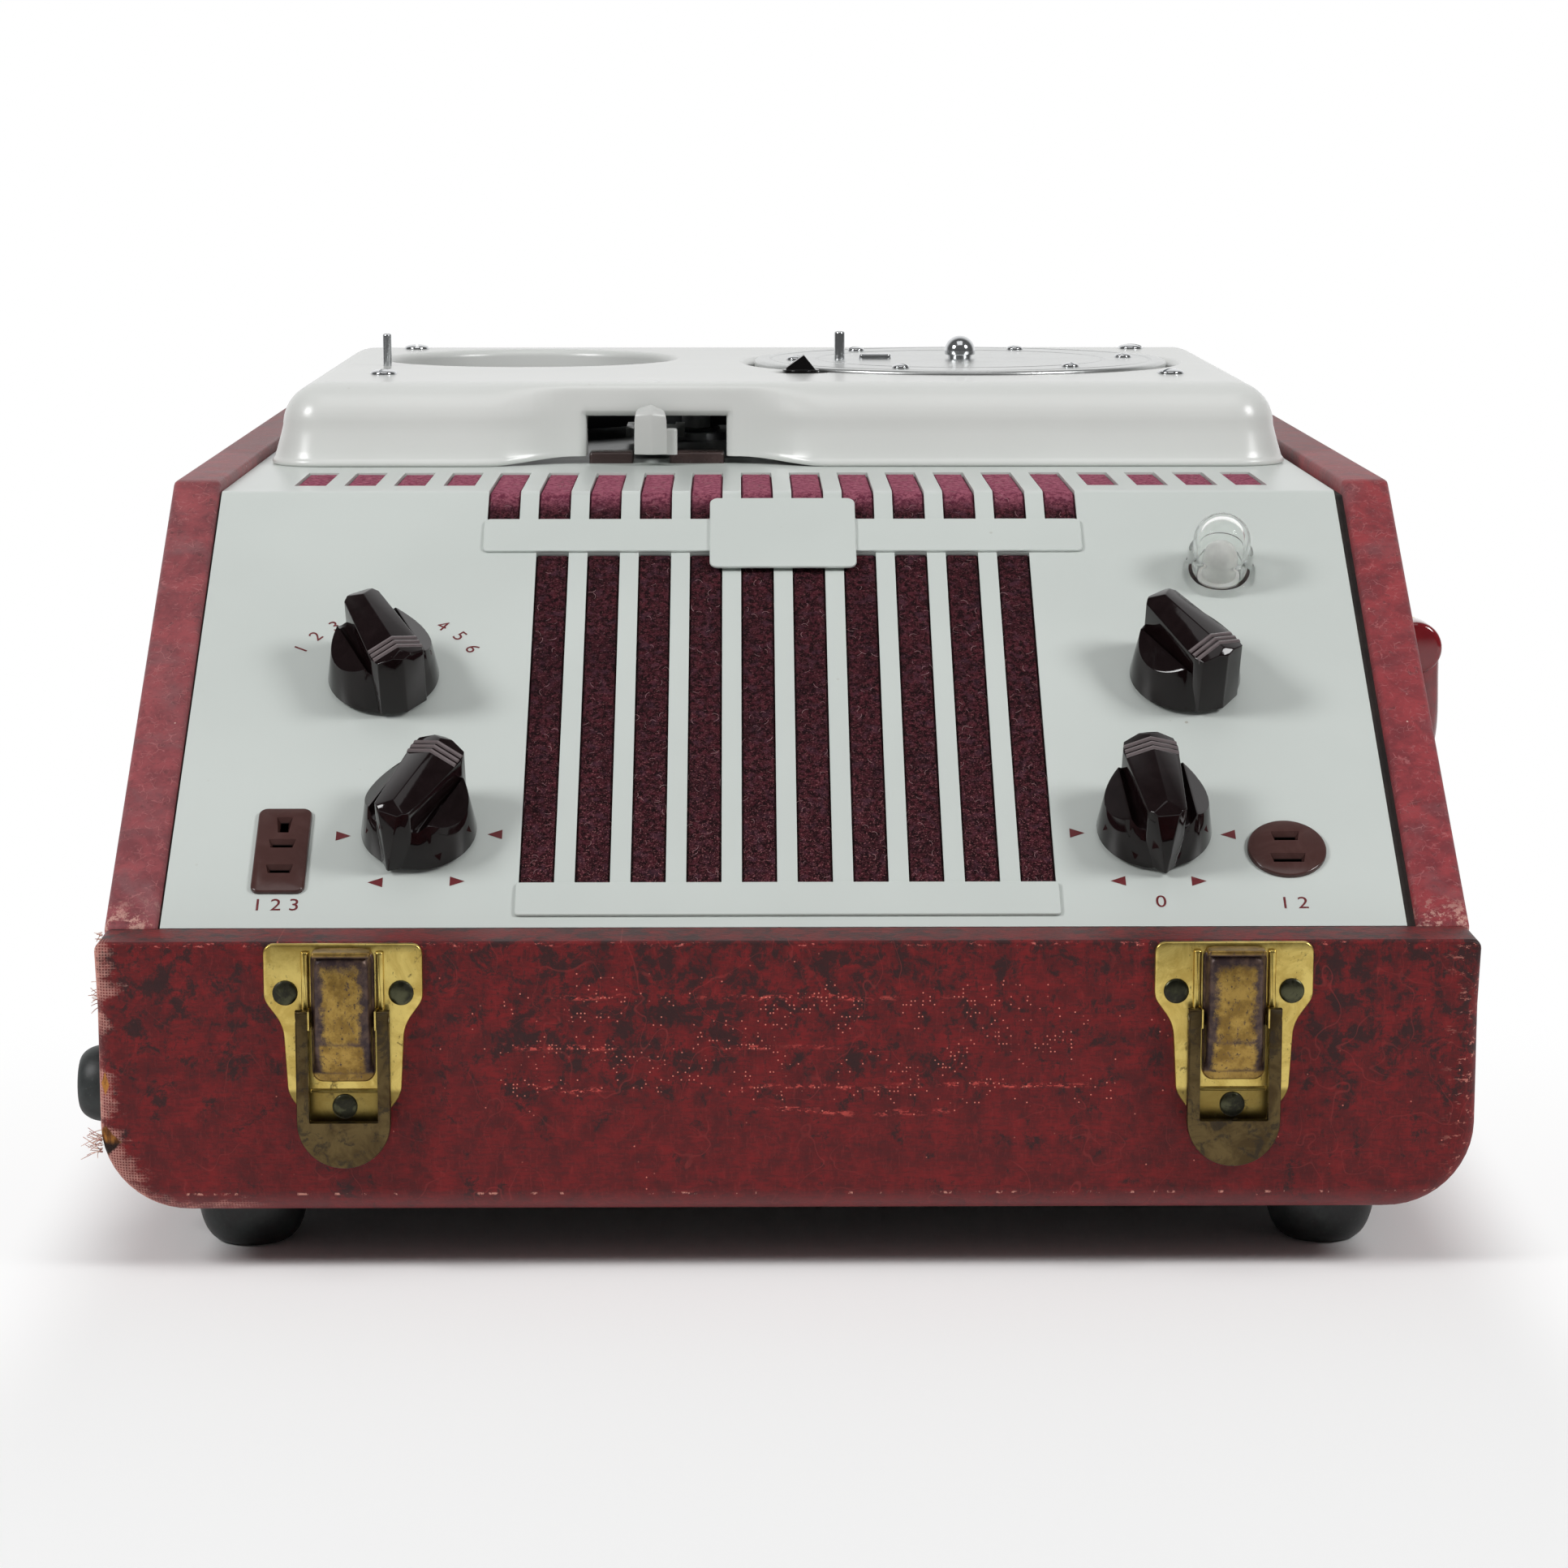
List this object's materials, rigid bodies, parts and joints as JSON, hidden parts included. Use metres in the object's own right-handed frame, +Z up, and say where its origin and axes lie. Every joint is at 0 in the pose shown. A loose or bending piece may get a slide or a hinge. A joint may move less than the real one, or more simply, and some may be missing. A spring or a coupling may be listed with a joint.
{
  "type": "wire recorder",
  "caption": "Portable wire recorder: leathercloth case with latches and side handle, sloped control panel with slotted speaker grille, knobs, lamp and sockets, and a raised reel deck.",
  "frame": {"origin": "middle of the footprint of the whole object, at the level of the surface that its feet stand on", "axes": "+X to the right seen from the front (the handle side), +Y to the rear, +Z up"},
  "size_m": [0.3188, 0.4226, 0.1869],
  "materials": {
    "leatherette": "crinkled leathercloth, worn",
    "plywood": "raw plywood",
    "rubber": "black rubber",
    "steel": "plated",
    "handle_plastic": "polished",
    "brass": "tarnished plate",
    "panel_paint": "satin grey-green enamel",
    "grille_fabric": "coarse dark red cloth",
    "speaker_metal": "painted",
    "cone_paper": "pressed paper",
    "bakelite": "polished phenolic",
    "socket_bakelite": "brown phenolic",
    "control_metal": "plated can",
    "clear_plastic": "clear",
    "neon_glass": "grey glass",
    "deck_paint": "satin light grey enamel",
    "chrome": "polished",
    "turntable_black": "black",
    "drum_aluminium": "spun",
    "bronze": "sintered bronze",
    "lever_metal": "cast, grey",
    "motor_black": "black paint",
    "chassis_steel": "grey plate",
    "valve_glass": "dark glass"
  },
  "bodies": {
    "case": {"side_boards": "leatherette", "corner_rails": "leatherette", "front_board": "leatherette", "rear_board": "leatherette", "bottom_board": "plywood", "panel_cleats": "plywood", "rubber_feet": "rubber", "side_bumpers": "rubber", "cord_grommet": "rubber", "foot_screws": "steel", "handle_pins": "steel", "latch_pins": "steel", "control_nuts": "steel", "deck_plate": "steel", "handle_brackets": "brass", "latch_plates": "brass", "latch_rivets": "brass", "lid_hinge_leaves": "brass", "control_panel": "panel_paint", "grille_trim": "panel_paint", "grille_cloth": "grille_fabric", "speaker_basket": "speaker_metal", "speaker_magnet": "speaker_metal", "speaker_cone": "cone_paper", "input_socket": "socket_bakelite", "output_socket": "socket_bakelite", "lamp_holder": "socket_bakelite", "control_bodies": "control_metal", "lamp_lens": "clear_plastic", "lamp_bulb": "neon_glass", "deck_cover": "deck_paint", "deck_fittings": "chrome", "deck_bearings": "bronze", "drive_motor": "motor_black", "amplifier_chassis": "chassis_steel", "power_supply": "chassis_steel", "amplifier_valves": "valve_glass"},
    "handle": {"handle_grip": "handle_plastic"},
    "left_latch_lever": {"latch_lever_left": "brass"},
    "right_latch_lever": {"latch_lever_right": "brass"},
    "left_latch_hook": {"latch_hook_left": "brass"},
    "right_latch_hook": {"latch_hook_right": "brass"},
    "record_control": {"record_knob": "bakelite", "record_shaft": "steel"},
    "volume_control": {"volume_knob": "bakelite", "volume_shaft": "steel"},
    "tone_control": {"tone_knob": "bakelite", "tone_shaft": "steel"},
    "power_control": {"power_knob": "bakelite", "power_shaft": "steel"},
    "takeup": {"takeup_drum": "drum_aluminium", "drum_fittings": "chrome", "drum_shaft": "steel"},
    "supply": {"supply_turntable": "turntable_black", "supply_spindle": "steel"},
    "head": {"recording_head": "turntable_black"},
    "run_lever": {"control_lever": "lever_metal"},
    "motor_rotor": {"motor_pulley": "steel"},
    "idler_swing_arm": {"idler_arm": "steel"},
    "idler": {"idler_wheel": "rubber"}
  },
  "joints": [
    {"name": "handle_swing", "type": "hinge", "parent": "case", "child": "handle", "pos_m": [0.1529, 0.00095, 0.1173], "axis": [0, -1, 0], "range_deg": [0, 100]},
    {"name": "left_latch_swing", "type": "hinge", "parent": "case", "child": "left_latch_lever", "pos_m": [-0.0984, -0.20805, 0.0576], "axis": [-1, 0, 0], "range_deg": [0, 95]},
    {"name": "right_latch_swing", "type": "hinge", "parent": "case", "child": "right_latch_lever", "pos_m": [0.0916, -0.20805, 0.0576], "axis": [-1, 0, 0], "range_deg": [0, 95]},
    {"name": "left_hook_lift", "type": "slide", "parent": "case", "child": "left_latch_hook", "axis": [0, 0, 1], "range_m": [0, 0.006]},
    {"name": "right_hook_lift", "type": "slide", "parent": "case", "child": "right_latch_hook", "axis": [0, 0, 1], "range_m": [0, 0.006]},
    {"name": "record_turn", "type": "hinge", "parent": "case", "child": "record_control", "pos_m": [-0.0959, -0.12162, 0.1186], "axis": [0, -0.5563, 0.831], "range_deg": [-52, 0]},
    {"name": "volume_turn", "type": "hinge", "parent": "case", "child": "volume_control", "pos_m": [-0.0849, -0.16434, 0.09001], "axis": [0, -0.5563, 0.831], "range_deg": [-310, 0]},
    {"name": "tone_turn", "type": "hinge", "parent": "case", "child": "tone_control", "pos_m": [0.0891, -0.12162, 0.1186], "axis": [0, -0.5563, 0.831], "range_deg": [-183, 117]},
    {"name": "power_turn", "type": "hinge", "parent": "case", "child": "power_control", "pos_m": [0.0781, -0.16434, 0.09001], "axis": [0, -0.5563, 0.831], "range_deg": [-290, 0]},
    {"name": "takeup_spin", "type": "hinge", "parent": "case", "child": "takeup", "pos_m": [0.0486, 0.10285, 0.15677], "axis": [0, 0, 1], "continuous": true},
    {"name": "supply_spin", "type": "hinge", "parent": "case", "child": "supply", "pos_m": [-0.0734, 0.12085, 0.15677], "axis": [0, 0, 1], "continuous": true},
    {"name": "head_lift", "type": "slide", "parent": "case", "child": "head", "axis": [0, 0, 1], "range_m": [-0.007, 0.007]},
    {"name": "run_lever_swing", "type": "hinge", "parent": "case", "child": "run_lever", "pos_m": [-0.0368, 0.06385, 0.15677], "axis": [0, 0, 1], "range_deg": [-14, 14]},
    {"name": "idler_arm_swing", "type": "hinge", "parent": "case", "child": "idler_swing_arm", "pos_m": [-0.0259, 0.09575, 0.15677], "axis": [0, 0, 1], "range_deg": [-2.4, 2.4]},
    {"name": "motor_spin", "type": "hinge", "parent": "case", "child": "motor_rotor", "pos_m": [-0.0259, 0.09575, 0.15677], "axis": [0, 0, 1], "continuous": true},
    {"name": "idler_spin", "type": "hinge", "parent": "idler_swing_arm", "child": "idler", "pos_m": [-0.02328, 0.11346, 0.15677], "axis": [0, 0, 1], "continuous": true}
  ],
  "couplings": [
    {"joint": "left_hook_lift", "follows": "left_latch_swing", "m_per_rad": 0.0036186},
    {"joint": "right_hook_lift", "follows": "right_latch_swing", "m_per_rad": 0.0036186},
    {"joint": "idler_arm_swing", "follows": "run_lever_swing", "ratio": -0.1713}
  ]
}
